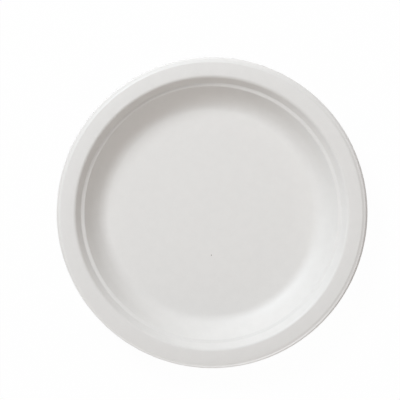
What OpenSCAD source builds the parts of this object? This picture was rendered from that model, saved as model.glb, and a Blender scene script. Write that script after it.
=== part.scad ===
// Round dinner plate of moulded plant fibre, pressed as one sheet of even thickness.
// The sheet is drawn once, as a half section from the middle of the floor out to the
// trimmed edge, and revolved about +Z. The origin is the middle of the underside.

/* [Plate] */
// Outside diameter, over the trimmed edge
plate_d = 229; // [180:1:300]
// Height of the top of the rim above the table
plate_h = 20; // [15:0.5:30]
// Thickness of the pressed fibre sheet
sheet_t = 0.7; // [0.4:0.05:1.2]

/* [Wall] */
// Lean of the upper wall, measured up from level
wall_angle = 51; // [46:1:60]
// Lean of the foot of the wall, below the belly, measured up from level
foot_angle = 38; // [34:0.5:45]
// Height of the belly, where the wall steepens
belly_h = 6.2; // [5:0.2:9]
// Inside radius of the belly's bend
belly_r = 30; // [10:5:60]
// Inside radius of the cove between the floor and the wall
cove_r = 13; // [4:0.5:16]
// Depth of the stacking ledge below the rim
ledge_depth = 5.1; // [4:0.1:7]
// Width of the stacking ledge
ledge_w = 2.5; // [1.4:0.1:4]
// Slope of the stacking ledge, measured up from level
ledge_angle = 21; // [0:1:30]
// Inside radius of the two bends of the stacking ledge
ledge_bend_r = 0.8; // [0.3:0.1:1.4]

/* [Rim] */
// Width of the rim, from the top of the wall to the bend at its outside
rim_w = 10.6; // [7:0.1:20]
// Inside radius of the shoulder, where the wall turns over into the rim
shoulder_r = 2.6; // [1:0.1:3]
// Fall of the rim from its crest to both sides, measured down from level
rim_fall = 1; // [0.5:0.5:6]
// Radius of the gentle crown over the crest
crown_r = 120; // [20:10:200]

/* [Edge] */
// Width of the short fall just outside the rim
step_w = 1.6; // [1:0.1:3]
// Slope of that fall, measured down from level
step_angle = 18; // [8:1:40]
// Width of the level land beyond the fall
land_w = 1.1; // [0.8:0.1:3]
// Width of the turned-down lip outside the land
lip_w = 0.8; // [0.7:0.1:4]
// Slope of the lip, measured down from level
lip_angle = 45; // [30:1:70]
// Inside radius of the bends along the edge
edge_bend_r = 0.4; // [0.2:0.05:0.8]

/* [Hidden] */

// Sides of the revolved sheet, largest turn between two points of a bend, steps of the round trim
TURN_SIDES = 180;
BEND_STEP = 4;
TRIM_STEPS = 6;
// Share of a straight stretch that the bends at its two ends may use together, and share of
// each half of the rim that the crown may use
BEND_SHARE = 0.98;
CROWN_SHARE = 0.6;

// Radii of the corners, worked from the trimmed edge inwards
edge_r = plate_d / 2;
lip_end_r = edge_r - sheet_t / 2 * (1 - sin(lip_angle));
land_out_r = edge_r - lip_w;
land_in_r = land_out_r - land_w;
rim_out_r = land_in_r - step_w;
rim_mid_r = rim_out_r - rim_w / 2;
rim_in_r = rim_out_r - rim_w;
ledge_out_r = rim_in_r - ledge_depth / tan(wall_angle);
ledge_in_r = ledge_out_r - ledge_w;

// The crown rounds off the crest, so the crest's corner stands a little above the top of the rim
crown_room_r = CROWN_SHARE * rim_w / 2 / tan(rim_fall) - sheet_t;
crown_bend_r = min(crown_r, crown_room_r);
crest_z = plate_h + (crown_bend_r + sheet_t) * (1 / cos(rim_fall) - 1);

// Heights of the corners, worked from the crest of the rim downwards
rim_in_z = crest_z - (rim_mid_r - rim_in_r) * tan(rim_fall);
rim_out_z = crest_z - (rim_out_r - rim_mid_r) * tan(rim_fall);
land_z = rim_out_z - step_w * tan(step_angle);
lip_end_z = land_z - (lip_end_r - land_out_r) * tan(lip_angle);
ledge_out_z = rim_in_z - ledge_depth;
ledge_in_z = ledge_out_z - ledge_w * tan(ledge_angle);
belly_corner_r = ledge_in_r - (ledge_in_z - belly_h) / tan(wall_angle);
floor_corner_r = belly_corner_r - (belly_h - sheet_t) / tan(foot_angle);

// Corners of the sheet's upper face: [radius, height, inside bend radius]
CORNERS = [
    [0, sheet_t, 0],
    [floor_corner_r, sheet_t, cove_r],
    [belly_corner_r, belly_h, belly_r],
    [ledge_in_r, ledge_in_z, ledge_bend_r],
    [ledge_out_r, ledge_out_z, ledge_bend_r],
    [rim_in_r, rim_in_z, shoulder_r],
    [rim_mid_r, crest_z, crown_bend_r],
    [rim_out_r, rim_out_z, edge_bend_r],
    [land_in_r, land_z, edge_bend_r],
    [land_out_r, land_z, edge_bend_r],
    [lip_end_r, lip_end_z, 0]
];
LAST = len(CORNERS) - 1;

// Place of a corner, and the length and heading of the straight stretch that leaves it
function spot(i) = [CORNERS[i][0], CORNERS[i][1]];
function run(i) = norm(spot(i + 1) - spot(i));
function heading(i) = atan2(CORNERS[i + 1][1] - CORNERS[i][1], CORNERS[i + 1][0] - CORNERS[i][0]);
// Angle turned at a corner, and its side: 1 where the sheet turns up, -1 where it turns down
function turn(i) = heading(i) - heading(i - 1);
function side(i) = sign(turn(i));
// Unit vectors along a heading and square to it
function along(angle) = [cos(angle), sin(angle)];
function across(angle) = [-sin(angle), cos(angle)];

// Bend radius on the upper face. The inside of a bend faces up where the sheet turns
// upwards, and down where it turns downwards, so there the sheet's thickness is added.
function wanted_radius(i) = CORNERS[i][2] + (side(i) < 0 ? sheet_t : 0);
// Length that a bend takes from the straight stretches on both sides of its corner
function wanted_length(i) =
    i == 0 || i == LAST ? 0 : wanted_radius(i) * tan(abs(turn(i)) / 2);
// The two bends of a stretch share it. Where it is too short for both, both are reduced.
function fit(i) = min(1, BEND_SHARE * run(i) / (wanted_length(i) + wanted_length(i + 1)));
function face_radius(i) = wanted_radius(i) * min(fit(i - 1), fit(i));
function bend_centre(i) =
    spot(i)
    - face_radius(i) * tan(abs(turn(i)) / 2) * along(heading(i - 1))
    + side(i) * face_radius(i) * across(heading(i - 1));

// Points of one bend, at a depth below the upper face
function bend_points(i, depth) =
    let (steps = max(2, ceil(abs(turn(i)) / BEND_STEP)))
    [for (k = [0:steps])
        bend_centre(i) - (side(i) * face_radius(i) + depth) * across(heading(i - 1) + turn(i) * k / steps)];

// One face of the sheet from the axis to the trimmed edge, at a depth below the upper face
function face_points(depth) = concat(
    [[0, sheet_t - depth]],
    [for (i = [1:LAST - 1]) each bend_points(i, depth)],
    [spot(LAST) - depth * across(heading(LAST - 1))]);

// The trimmed edge, half round from the upper face to the underside
function trim_points() =
    let (middle = spot(LAST) - sheet_t / 2 * across(heading(LAST - 1)))
    [for (k = [1:TRIM_STEPS - 1])
        middle + sheet_t / 2 * across(heading(LAST - 1) - 180 * k / TRIM_STEPS)];

function backwards(points) = [for (i = [len(points) - 1:-1:0]) points[i]];

module sheet_section() {
    polygon(concat(face_points(0), trim_points(), backwards(face_points(sheet_t))));
}

module plate() {
    color([0.87, 0.865, 0.85])
        rotate_extrude($fn = TURN_SIDES)
            sheet_section();
}

plate();
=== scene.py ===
import bpy
import numpy as np
from mathutils import Matrix, Vector


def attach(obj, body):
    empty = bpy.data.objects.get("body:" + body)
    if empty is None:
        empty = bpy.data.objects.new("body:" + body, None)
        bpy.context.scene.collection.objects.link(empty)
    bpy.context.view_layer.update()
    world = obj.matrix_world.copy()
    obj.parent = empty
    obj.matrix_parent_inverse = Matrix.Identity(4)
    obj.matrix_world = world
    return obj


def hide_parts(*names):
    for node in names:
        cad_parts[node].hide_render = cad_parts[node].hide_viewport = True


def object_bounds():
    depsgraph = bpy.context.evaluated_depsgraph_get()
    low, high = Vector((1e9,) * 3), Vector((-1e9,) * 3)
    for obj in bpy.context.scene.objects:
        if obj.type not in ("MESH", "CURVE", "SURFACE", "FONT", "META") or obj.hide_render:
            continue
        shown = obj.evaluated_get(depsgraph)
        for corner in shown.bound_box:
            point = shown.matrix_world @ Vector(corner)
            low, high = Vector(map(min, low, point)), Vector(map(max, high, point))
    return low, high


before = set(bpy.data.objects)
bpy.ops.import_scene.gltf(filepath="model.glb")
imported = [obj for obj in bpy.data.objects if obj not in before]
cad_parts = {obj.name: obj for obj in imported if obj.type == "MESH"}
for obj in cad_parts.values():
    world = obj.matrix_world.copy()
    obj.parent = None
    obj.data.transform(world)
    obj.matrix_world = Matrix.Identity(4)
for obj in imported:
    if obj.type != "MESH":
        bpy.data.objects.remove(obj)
cad_low, cad_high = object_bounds()


# The sheet's section
# One sheet of plant-fibre pulp, drained on a wire screen and pressed hot between two dies.
# It has one thickness all over, and every bend of it is a radius ground into the dies.
edge_radius = (cad_high.x - cad_low.x) / 2
rim_height = cad_high.z
sheet_thickness = 0.0007
wall_lean = np.radians(51)
foot_lean = np.radians(38)
belly_height = 0.0062
belly_bend = 0.030
cove_bend = 0.013
ledge_drop = 0.0051
ledge_width = 0.0025
ledge_lean = np.radians(21)
ledge_bend = 0.0008
rim_width = 0.0106
shoulder_bend = 0.0026
rim_fall = np.radians(1)
crown_bend = 0.120
step_width = 0.0016
step_lean = np.radians(14)
land_width = 0.0011
lip_width = 0.0008
lip_lean = np.radians(36)
edge_bend = 0.0004
blank_spare = 0.003
land_start = edge_radius - lip_width - land_width
step_start = land_start - step_width
rim_start = step_start - rim_width


def die_corners():
    """Corners of the upper face, each with its radius, height and inside bend radius. Radii are
    worked inwards from the trimmed edge, and heights downwards from the top of the rim, except those
    of the floor and the belly, which are given from the table up. The lip runs on past the edge, as
    the pressed blank does before it is trimmed."""
    land_end = edge_radius - lip_width
    lip_end = edge_radius + blank_spare
    ledge_out = rim_start - ledge_drop / np.tan(wall_lean)
    ledge_in = ledge_out - ledge_width
    crest_height = rim_height + (crown_bend + sheet_thickness) * (1 / np.cos(rim_fall) - 1)
    rim_side_height = crest_height - rim_width / 2 * np.tan(rim_fall)
    land_height = rim_side_height - step_width * np.tan(step_lean)
    lip_end_height = land_height - (lip_end - land_end) * np.tan(lip_lean)
    ledge_out_height = rim_side_height - ledge_drop
    ledge_in_height = ledge_out_height - ledge_width * np.tan(ledge_lean)
    belly = ledge_in - (ledge_in_height - belly_height) / np.tan(wall_lean)
    floor_out = belly - (belly_height - sheet_thickness) / np.tan(foot_lean)
    return np.array([
        (0, sheet_thickness, 0),
        (floor_out, sheet_thickness, cove_bend),
        (belly, belly_height, belly_bend),
        (ledge_in, ledge_in_height, ledge_bend),
        (ledge_out, ledge_out_height, ledge_bend),
        (rim_start, rim_side_height, shoulder_bend),
        (step_start - rim_width / 2, crest_height, crown_bend),
        (step_start, rim_side_height, edge_bend),
        (land_start, land_height, edge_bend),
        (land_end, land_height, edge_bend),
        (lip_end, lip_end_height, 0),
    ])


def square_to(heading):
    """Unit vector square to a heading, on the upper side of the sheet."""
    return np.stack([-np.sin(heading), np.cos(heading)], axis=-1)


def face_line(corners, bend_step=np.radians(4), straight_step=0.0045):
    """Points along the upper face of the form, and the unit vector square to it at each. A bend is
    an arc about a centre on the side that the face turns to. Its points lie one radius from the
    centre, square to each heading of the turn, and the radius is larger by the sheet's thickness
    where the upper face is the outer one. The straight stretches are cut into even steps."""
    spots = corners[:, :2]
    runs = np.diff(spots, axis=0)
    headings = np.arctan2(runs[:, 1], runs[:, 0])
    arcs = [(spots[:1], headings[:1])]
    for spot, inside, before, after in zip(spots[1:-1], corners[1:-1, 2], headings, headings[1:]):
        side = np.sign(after - before)
        bend = inside + (sheet_thickness if side < 0 else 0)
        along = np.array([np.cos(before), np.sin(before)])
        centre = spot - bend * np.tan(abs(after - before) / 2) * along + side * bend * square_to(before)
        steps = max(2, int(np.ceil(abs(after - before) / bend_step)))
        turned = np.linspace(before, after, steps + 1)
        arcs.append((centre - side * bend * square_to(turned), turned))
    arcs.append((spots[-1:], headings[-1:]))
    points, normals = [arcs[0][0]], [square_to(arcs[0][1])]
    for (start, _), (end, turned) in zip(arcs, arcs[1:]):
        gap = np.linalg.norm(end[0] - start[-1])
        shares = np.linspace(0, 1, max(1, int(np.ceil(gap / straight_step))) + 1)[1:-1, None]
        points += [start[-1] + (end[0] - start[-1]) * shares, end]
        normals += [square_to(turned[0]) + 0 * shares, square_to(turned)]
    return np.concatenate(points), np.concatenate(normals)


# The plate
# The pressed blank is trimmed round by a ring die, a little off the centre of the form, so the lip
# is wide on one side and almost gone on the other. Drying warps the rim a little, leans it unevenly,
# and makes the edge droop and curl. The cut is rough with broken fibre.
trim_off_centre = 0.00074
trim_toward = np.radians(33)
form_axis = (-trim_off_centre * np.cos(trim_toward), -trim_off_centre * np.sin(trim_toward), 0)
warp_height = 0.00008
warp_waves = np.arange(2, 6)
warp_starts = 0.7
rough_cut = 0.00002
rim_lean_once = np.radians(1.6)
once_toward = np.radians(175)
rim_lean_twice = np.radians(0.9)
twice_toward = np.radians(90)
droop_mean = np.radians(3.5)
droop_change = np.radians(12.5)
droop_toward = np.radians(70)
curl_waves = np.array([1, 3, 4])
curl_leans = np.radians([5.4, 3.5, 3.9])
curl_toward = np.radians([77, -3, -21])
turn_sides = 480
land_steps = 20
trim_steps = 6
chance = np.random.default_rng(11)


def trimmed_sheet(azimuth):
    """Radius and height of the whole section at each azimuth, from the middle of the upper face,
    round the trimmed edge and back to the middle of the underside, and for each ring 0 above to 1
    below. The form's axis lies off the outline's centre, so the cut falls farther along the form
    towards trim_toward, by the cosine of the azimuth from it. From the land outwards the points of
    both faces are spread evenly up to the cut, and the cut is rounded by half the thickness."""
    points, normals = face_line(die_corners())
    run = np.concatenate([[0], np.cumsum(np.linalg.norm(np.diff(points, axis=0), axis=1))])
    rough = chance.normal(0, rough_cut, len(azimuth))
    farther = trim_off_centre * np.cos(azimuth - trim_toward)
    cut_radius = edge_radius - sheet_thickness / 2 + farther + rough
    cut = np.interp(cut_radius, points[:, 0] - sheet_thickness / 2 * normals[:, 0], run)
    fixed = run[points[:, 0] < land_start]
    shares = np.linspace(0, 1, land_steps + 1)[1:, None]
    stops = np.concatenate([fixed[:, None] + 0 * cut, fixed[-1] + (cut - fixed[-1]) * shares])
    upper = np.stack([np.interp(stops, run, values) for values in points.T], axis=-1)
    square = np.stack([np.interp(stops, run, values) for values in normals.T], axis=-1)
    onward = np.stack([square[-1, :, 1], -square[-1, :, 0]], axis=-1)
    half_turn = np.linspace(0, np.pi, trim_steps + 1)[1:-1]
    turned = np.cos(half_turn)[:, None, None] * square[-1] + np.sin(half_turn)[:, None, None] * onward
    trim = upper[-1] + sheet_thickness / 2 * (turned - square[-1])
    under = upper - sheet_thickness * square
    rings = np.concatenate([upper, trim, under[::-1]])
    return rings, np.concatenate([np.zeros(len(upper)), half_turn / np.pi, np.ones(len(under))])


def pressed_surface(rings, azimuth):
    """Place of each section point, about the outline's centre. The height adds a warp, a sum of waves
    round the plate, each divided by its count, growing by the square of the way out from the wall.
    It loses three falls, each a distance outwards times a slope: the rim's lean, with one and two
    waves round the plate, the edge's droop from the step outwards, a mean and one wave, and the curl
    from the land outwards, a sum of curl_waves."""
    radius, height = rings[..., 0], rings[..., 1]
    waves = warp_waves[:, None]
    phases = chance.uniform(0, 2 * np.pi, len(warp_waves))[:, None]
    warp = (np.cos(waves * azimuth + phases) / waves).sum(axis=0) * warp_height
    rise = np.clip((radius / edge_radius - warp_starts) / (1 - warp_starts), 0, 1) ** 2
    droop = np.tan(droop_mean + droop_change * np.cos(azimuth - droop_toward))
    lean = rim_lean_once * np.cos(azimuth - once_toward)
    lean = lean + rim_lean_twice * np.cos(2 * (azimuth - twice_toward))
    curl = (curl_leans * np.cos(curl_waves * (azimuth[:, None] - curl_toward))).sum(axis=-1)
    over_rim = np.maximum(radius - rim_start, 0)
    over_edge = np.maximum(radius - step_start, 0)
    over_land = np.maximum(radius - land_start, 0)
    x = radius * np.cos(azimuth) + form_axis[0]
    y = radius * np.sin(azimuth) + form_axis[1]
    fall = over_rim * np.tan(lean) + over_edge * droop + over_land * np.tan(curl)
    return np.stack([x, y, height + rise * warp - fall], axis=-1)


def revolved_mesh(name, grid):
    """A closed mesh from a grid of rings. The first and last rings have no size and become one
    point each, joined to their neighbours by a fan of triangles."""
    rings, sides = grid.shape[0] - 2, grid.shape[1]
    corners = np.concatenate([grid[:1, 0], grid[1:-1].reshape(-1, 3), grid[-1:, 0]])
    ids = 1 + np.arange(rings * sides).reshape(rings, sides)
    beside = np.roll(ids, -1, axis=1)
    quads = np.stack([ids[:-1], ids[1:], beside[1:], beside[:-1]], axis=-1).reshape(-1, 4)
    first_fan = np.stack([np.zeros(sides, int), ids[0], beside[0]], axis=-1)
    last_fan = np.stack([np.full(sides, len(corners) - 1), beside[-1], ids[-1]], axis=-1)
    mesh = bpy.data.meshes.new(name)
    mesh.from_pydata(corners.tolist(), [], quads.tolist() + first_fan.tolist() + last_fan.tolist())
    mesh.shade_smooth()
    return mesh


azimuths = np.arange(turn_sides) / turn_sides * 2 * np.pi
section, section_below = trimmed_sheet(azimuths)
plate_mesh = revolved_mesh("moulded_plate", pressed_surface(section, azimuths))
below = np.concatenate([[0], np.repeat(section_below[1:-1], turn_sides), [1]])
below_mark = plate_mesh.attributes.new("below", "FLOAT", "POINT")
below_mark.data.foreach_set("value", below.astype(np.float32))
plate = bpy.data.objects.new("moulded_plate", plate_mesh)
bpy.context.scene.collection.objects.link(plate)
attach(plate, "root")
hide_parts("plate")


# The finish of the pulp
# Bleached plant fibre, felted while wet: short curly fibres in all directions, slightly cloudy.
# The upper die leaves a smooth face with a faint sheen and a duller edge. A painted highlight lightens
# the middle, and painted light, standing for the table's light through the thin sheet, lightens the
# edge. The tone is lightest round the torn cut. A painted shade darkens the crease at the ledge's
# outer corner, deepest on one side. The screen marks the underside.
pulp_tone = (0.7310, 0.7205, 0.6997)
pulp_ior = 1.45
fibre_layers = ((420, 0.035, 0.0), (700, 0.045, 0.31), (1100, 0.06, 0.67))
fibre_curl = 0.6
fibre_shade = 0.012
gap_scale = 1.3
gap_span = (0.47, 0.56)
cloud_scale = 130
cloud_detail = 5
cloud_fineness = 0.6
cloud_span = (0.3, 0.7)
cloud_light = (0.990, 1.010)
cloud_roughness = (0.44, 0.52)
# A touch lighter in the middle of the floor: a painted highlight.
painted_middle_highlight = 1.010
painted_highlight_span = (0.030, 0.060)
# Lighter towards the edge: painted light for the table's light that comes through the thin sheet.
painted_edge_light = 1.045
edge_span = (0.1112, 0.1132)
edge_roughness = 0.35
cut_light = 1.10
cut_middle = 0.25
# Painted shade in the crease at the ledge's outer corner, deepest on the upper left.
crease_radius = 0.0955
crease_shade_reach = 0.0013
crease_shade_depth = 0.12
crease_shade_toward = np.radians(120)
crease_shade_power = 4.0
fleck_centre = (-0.0002, -0.0322, 0)
fleck_size = (0.0006, 0.0010)
fleck_span = (1.3, 0.7)
fleck_tone = (0.25, 0.22, 0.19, 1)
screen_pitch = 0.0008
screen_roughness = 0.15
felt_relief = 0.25
cloud_relief = 1.5
relief_depth = 0.00004
relief_strength = 0.5


def place(tree, kind, inputs=None, **settings):
    """A new node of that kind. An input is linked if its value is a socket, and set if it isn't."""
    made = tree.nodes.new(kind)
    for name, value in settings.items():
        setattr(made, name, value)
    for key, value in (inputs or {}).items():
        if isinstance(value, bpy.types.NodeSocket):
            tree.links.new(value, made.inputs[key])
        else:
            made.inputs[key].default_value = value
    return made


def math(tree, operation, first, second=0.0):
    """The output of a Math node."""
    return place(tree, "ShaderNodeMath", {0: first, 1: second}, operation=operation).outputs[0]


def ramp(tree, value, low, high, start=0.0, end=1.0):
    """A value's place between low and high, the two ends of a span, smoothed, as a number from start
    to end."""
    inputs = {"Value": value, "From Min": low, "From Max": high, "To Min": start, "To Max": end}
    made = place(tree, "ShaderNodeMapRange", inputs, interpolation_type="SMOOTHSTEP")
    return made.outputs["Result"]


def felted_fibre():
    """Node group. A fibre is a thin line where a smooth noise crosses its middle value, broken up
    by a second noise. Each layer of them has a scale, a width and a shift of its own, and the
    strongest shows. Cloud is a slow noise of several sizes, from 0 to 1."""
    group = bpy.data.node_groups.new("felted_fibre", "ShaderNodeTree")
    group.interface.new_socket("Vector", in_out="INPUT", socket_type="NodeSocketVector")
    group.interface.new_socket("Fibre", in_out="OUTPUT", socket_type="NodeSocketFloat")
    group.interface.new_socket("Cloud", in_out="OUTPUT", socket_type="NodeSocketFloat")
    vector = group.nodes.new("NodeGroupInput").outputs["Vector"]
    layers = []
    for scale, width, shift in fibre_layers:
        moved = place(group, "ShaderNodeVectorMath", {0: vector, 1: (shift, shift, shift)}).outputs[0]
        inputs = {"Vector": moved, "Scale": scale, "Detail": 1, "Distortion": fibre_curl}
        crossing = place(group, "ShaderNodeTexNoise", inputs).outputs["Fac"]
        apart = math(group, "ABSOLUTE", math(group, "SUBTRACT", crossing, 0.5))
        inputs = {"Vector": moved, "Scale": scale * gap_scale, "Detail": 0}
        gaps = place(group, "ShaderNodeTexNoise", inputs).outputs["Fac"]
        line = math(group, "MULTIPLY", ramp(group, apart, width, 0), ramp(group, gaps, *gap_span))
        layers.append(line)
    fibre = math(group, "MAXIMUM", math(group, "MAXIMUM", layers[0], layers[1]), layers[2])
    inputs = {"Vector": vector, "Scale": cloud_scale, "Detail": cloud_detail, "Roughness": cloud_fineness}
    cloud = place(group, "ShaderNodeTexNoise", inputs)
    output = group.nodes.new("NodeGroupOutput")
    group.links.new(fibre, output.inputs["Fibre"])
    group.links.new(cloud.outputs["Fac"], output.inputs["Cloud"])
    return group


def pulp_material():
    """The plate's one material, with the upper face's finish and the underside's by the attribute
    that tells them apart. The product of their two shares is 0 on both faces and cut_middle midway
    round the cut. The painted highlight in the middle, the painted light at the edge, the lighter cut
    and the painted shade in the crease are factors on the pulp's tone. The middle and the edge go by
    the distance from the outline's centre, and the crease's painted shade by that from the form's
    axis. It fades with a power of the cosine of the azimuth from its shadiest side."""
    material = bpy.data.materials.new("moulded_fibre")
    material.use_nodes = True
    tree = material.node_tree
    shader = tree.nodes["Principled BSDF"]
    spot = place(tree, "ShaderNodeTexCoord").outputs["Object"]
    axes = place(tree, "ShaderNodeSeparateXYZ", {0: spot}).outputs
    flat = place(tree, "ShaderNodeCombineXYZ", {0: axes[0], 1: axes[1]}).outputs[0]
    from_axis = place(tree, "ShaderNodeVectorMath", {0: flat}, operation="LENGTH").outputs["Value"]
    below_share = place(tree, "ShaderNodeAttribute", attribute_name="below").outputs["Fac"]
    upper_share = math(tree, "SUBTRACT", 1.0, below_share)
    cut_mark = math(tree, "MULTIPLY", below_share, upper_share)
    pulp = place(tree, "ShaderNodeGroup", {"Vector": spot}, node_tree=felted_fibre())
    fibre, cloud = pulp.outputs["Fibre"], pulp.outputs["Cloud"]

    value = math(tree, "ADD", ramp(tree, cloud, *cloud_span, *cloud_light),
                 math(tree, "MULTIPLY", fibre, -fibre_shade))
    # Painted highlight: lighter in the middle.
    value = math(tree, "MULTIPLY", value, ramp(tree, from_axis, *painted_highlight_span, painted_middle_highlight, 1.0))
    # Painted light: lighter towards the edge.
    value = math(tree, "MULTIPLY", value, ramp(tree, from_axis, *edge_span, 1.0, painted_edge_light))
    value = math(tree, "MULTIPLY", value, ramp(tree, cut_mark, 0, cut_middle, 1.0, cut_light))
    # Painted shade: darker in the crease at the ledge, deepest on the upper left.
    from_form = place(tree, "ShaderNodeVectorMath", {0: flat, 1: form_axis}, operation="DISTANCE")
    off_crease = math(tree, "SUBTRACT", from_form.outputs["Value"], crease_radius)
    off_crease = math(tree, "ABSOLUTE", off_crease)
    shadiest_side = (np.cos(crease_shade_toward) / crease_radius, np.sin(crease_shade_toward) / crease_radius, 0)
    facing = place(tree, "ShaderNodeVectorMath", {0: flat, 1: shadiest_side}, operation="DOT_PRODUCT")
    shaded_side_share = math(tree, "POWER", math(tree, "MAXIMUM", facing.outputs["Value"], 0.0), crease_shade_power)
    crease_shade = math(tree, "MULTIPLY", shaded_side_share, ramp(tree, off_crease, 0.0, crease_shade_reach, crease_shade_depth, 0.0))
    value = math(tree, "MULTIPLY", value, math(tree, "SUBTRACT", 1.0, crease_shade))
    clouded = place(tree, "ShaderNodeVectorMath", {0: pulp_tone, "Scale": value}, operation="SCALE")
    off = place(tree, "ShaderNodeVectorMath", {0: flat, 1: fleck_centre}, operation="SUBTRACT")
    across = (2 / fleck_size[0], 2 / fleck_size[1], 1)
    off = place(tree, "ShaderNodeVectorMath", {0: off.outputs[0], 1: across}, operation="MULTIPLY")
    away = place(tree, "ShaderNodeVectorMath", {0: off.outputs[0]}, operation="LENGTH").outputs["Value"]
    fleck = math(tree, "MULTIPLY", ramp(tree, away, *fleck_span), upper_share)
    # A mix of two colours takes them at its inputs 6 and 7 and gives the result at its output 2.
    inputs = {0: fleck, 6: clouded.outputs[0], 7: fleck_tone}
    marked = place(tree, "ShaderNodeMix", inputs, data_type="RGBA")
    tree.links.new(marked.outputs[2], shader.inputs["Base Color"])

    screen_turn = 2 * np.pi / screen_pitch
    waves = [math(tree, "SINE", math(tree, "MULTIPLY", axis, screen_turn)) for axis in axes[:2]]
    screen = math(tree, "MULTIPLY", math(tree, "MULTIPLY", waves[0], waves[1]), below_share)
    felt = math(tree, "ADD", fibre, math(tree, "MULTIPLY", cloud, cloud_relief))
    height = math(tree, "ADD", math(tree, "MULTIPLY", felt, felt_relief), screen)
    inputs = {"Height": height, "Strength": relief_strength, "Distance": relief_depth}
    bump = place(tree, "ShaderNodeBump", inputs)
    tree.links.new(bump.outputs[0], shader.inputs["Normal"])
    rough = math(tree, "ADD", math(tree, "MULTIPLY", below_share, screen_roughness),
                 ramp(tree, cloud, *cloud_span, *cloud_roughness))
    rough = math(tree, "ADD", rough, ramp(tree, from_axis, *edge_span, 0.0, edge_roughness))
    tree.links.new(rough, shader.inputs["Roughness"])
    shader.inputs["IOR"].default_value = pulp_ior
    return material


plate_mesh.materials.append(pulp_material())


# The table and the light
# A plain white table top in a white room. One large soft lamp of a cool white stands at the upper
# left, warmer and weaker ones at the bottom and at the upper right, and a plain white one overhead.
table_size = 8.0
table_tone = (0.80, 0.80, 0.80, 1)
table_glow = 0.98
surround_strength = 0.19
warm_light = (1.072, 1.0, 0.958, 1)
plain_light = (1, 1, 1, 1)
cool_light = (0.948, 1.0, 1.050, 1)


def seen_directly(tree):
    """1 for rays from the camera and for those that show a surface in a gloss or through glass."""
    rays = place(tree, "ShaderNodeLightPath").outputs
    shown = math(tree, "MAXIMUM", rays["Is Camera Ray"], rays["Is Glossy Ray"])
    return math(tree, "MAXIMUM", shown, rays["Is Transmission Ray"])


def table_material():
    """White by its own glow where it is seen, with a share left that takes the plate's shadow."""
    material = bpy.data.materials.new("white_table")
    material.use_nodes = True
    tree = material.node_tree
    tree.nodes.remove(tree.nodes["Principled BSDF"])
    matt = place(tree, "ShaderNodeBsdfDiffuse", {"Color": table_tone}).outputs[0]
    glow = place(tree, "ShaderNodeEmission", {"Color": plain_light, "Strength": 1.0}).outputs[0]
    share = math(tree, "MULTIPLY", seen_directly(tree), table_glow)
    both = place(tree, "ShaderNodeMixShader", {0: share, 1: matt, 2: glow}).outputs[0]
    tree.links.new(both, tree.nodes["Material Output"].inputs["Surface"])
    return material


half = table_size / 2
table_mesh = bpy.data.meshes.new("table")
table_corners = [(-half, -half, 0), (half, -half, 0), (half, half, 0), (-half, half, 0)]
table_mesh.from_pydata(table_corners, [], [(0, 1, 2, 3)])
table_mesh.materials.append(table_material())
table = bpy.data.objects.new("table", table_mesh)
bpy.context.scene.collection.objects.link(table)

world = bpy.data.worlds.new("white_surround")
world.use_nodes = True
bpy.context.scene.world = world
sky = world.node_tree
sky.nodes.remove(sky.nodes["Background"])
lit = place(sky, "ShaderNodeBackground", {"Color": warm_light, "Strength": surround_strength}).outputs[0]
white = place(sky, "ShaderNodeBackground", {"Color": plain_light, "Strength": 1.0}).outputs[0]
shown = place(sky, "ShaderNodeMixShader", {0: seen_directly(sky), 1: lit, 2: white}).outputs[0]
sky.links.new(shown, sky.nodes["World Output"].inputs["Surface"])


def soft_lamp(name, azimuth, elevation, distance, size, watts, colour):
    """A round area lamp that faces the plate and isn't seen itself. Its azimuth and elevation are in
    degrees, the azimuth from +X towards +Y."""
    lamp = bpy.data.lights.new(name, "AREA")
    lamp.shape = "DISK"
    lamp.size = size
    lamp.energy = watts
    lamp.color = colour[:3]
    made = bpy.data.objects.new(name, lamp)
    turn, lift = np.radians(azimuth), np.radians(elevation)
    level = np.cos(lift)
    made.location = distance * Vector((level * np.cos(turn), level * np.sin(turn), np.sin(lift)))
    made.rotation_mode = "QUATERNION"
    made.rotation_quaternion = (-made.location).to_track_quat("-Z", "Y")
    made.visible_camera = False
    bpy.context.scene.collection.objects.link(made)


soft_lamp("key_lamp", azimuth=127, elevation=38, distance=2.2, size=0.82, watts=37.7, colour=cool_light)
soft_lamp("low_lamp", azimuth=270, elevation=25, distance=2.0, size=1.23, watts=8.4, colour=warm_light)
soft_lamp("side_lamp", azimuth=60, elevation=45, distance=1.3, size=0.8, watts=2.4, colour=warm_light)
soft_lamp("top_lamp", azimuth=0, elevation=89.9, distance=3.0, size=0.9, watts=8.7, colour=plain_light)


# The camera
# Almost straight above the plate, a little towards the upper left, with the plate a little below
# and to the right of the middle of the frame.
view_distance = 1.18
view_tilt = np.radians(2.3)
view_toward = np.radians(147)
lens_mm = 144.25
sensor_mm = 36.0
plate_middle = Vector((0, 0, 0.0185))
frame_middle = plate_middle + Vector((-0.00918, 0.00932, 0))

lean = np.sin(view_tilt)
eye = plate_middle + view_distance * Vector(
    (lean * np.cos(view_toward), lean * np.sin(view_toward), np.cos(view_tilt)))
forward = (frame_middle - eye).normalized()
right = forward.cross(Vector((0, 1, 0))).normalized()
up = right.cross(forward)
camera_data = bpy.data.cameras.new("camera")
camera_data.lens = lens_mm
camera_data.sensor_width = sensor_mm
camera = bpy.data.objects.new("camera", camera_data)
camera.matrix_world = Matrix.Translation(eye) @ Matrix((right, up, -forward)).transposed().to_4x4()
bpy.context.scene.collection.objects.link(camera)
bpy.context.scene.camera = camera
bpy.context.scene.view_settings.view_transform = "Standard"
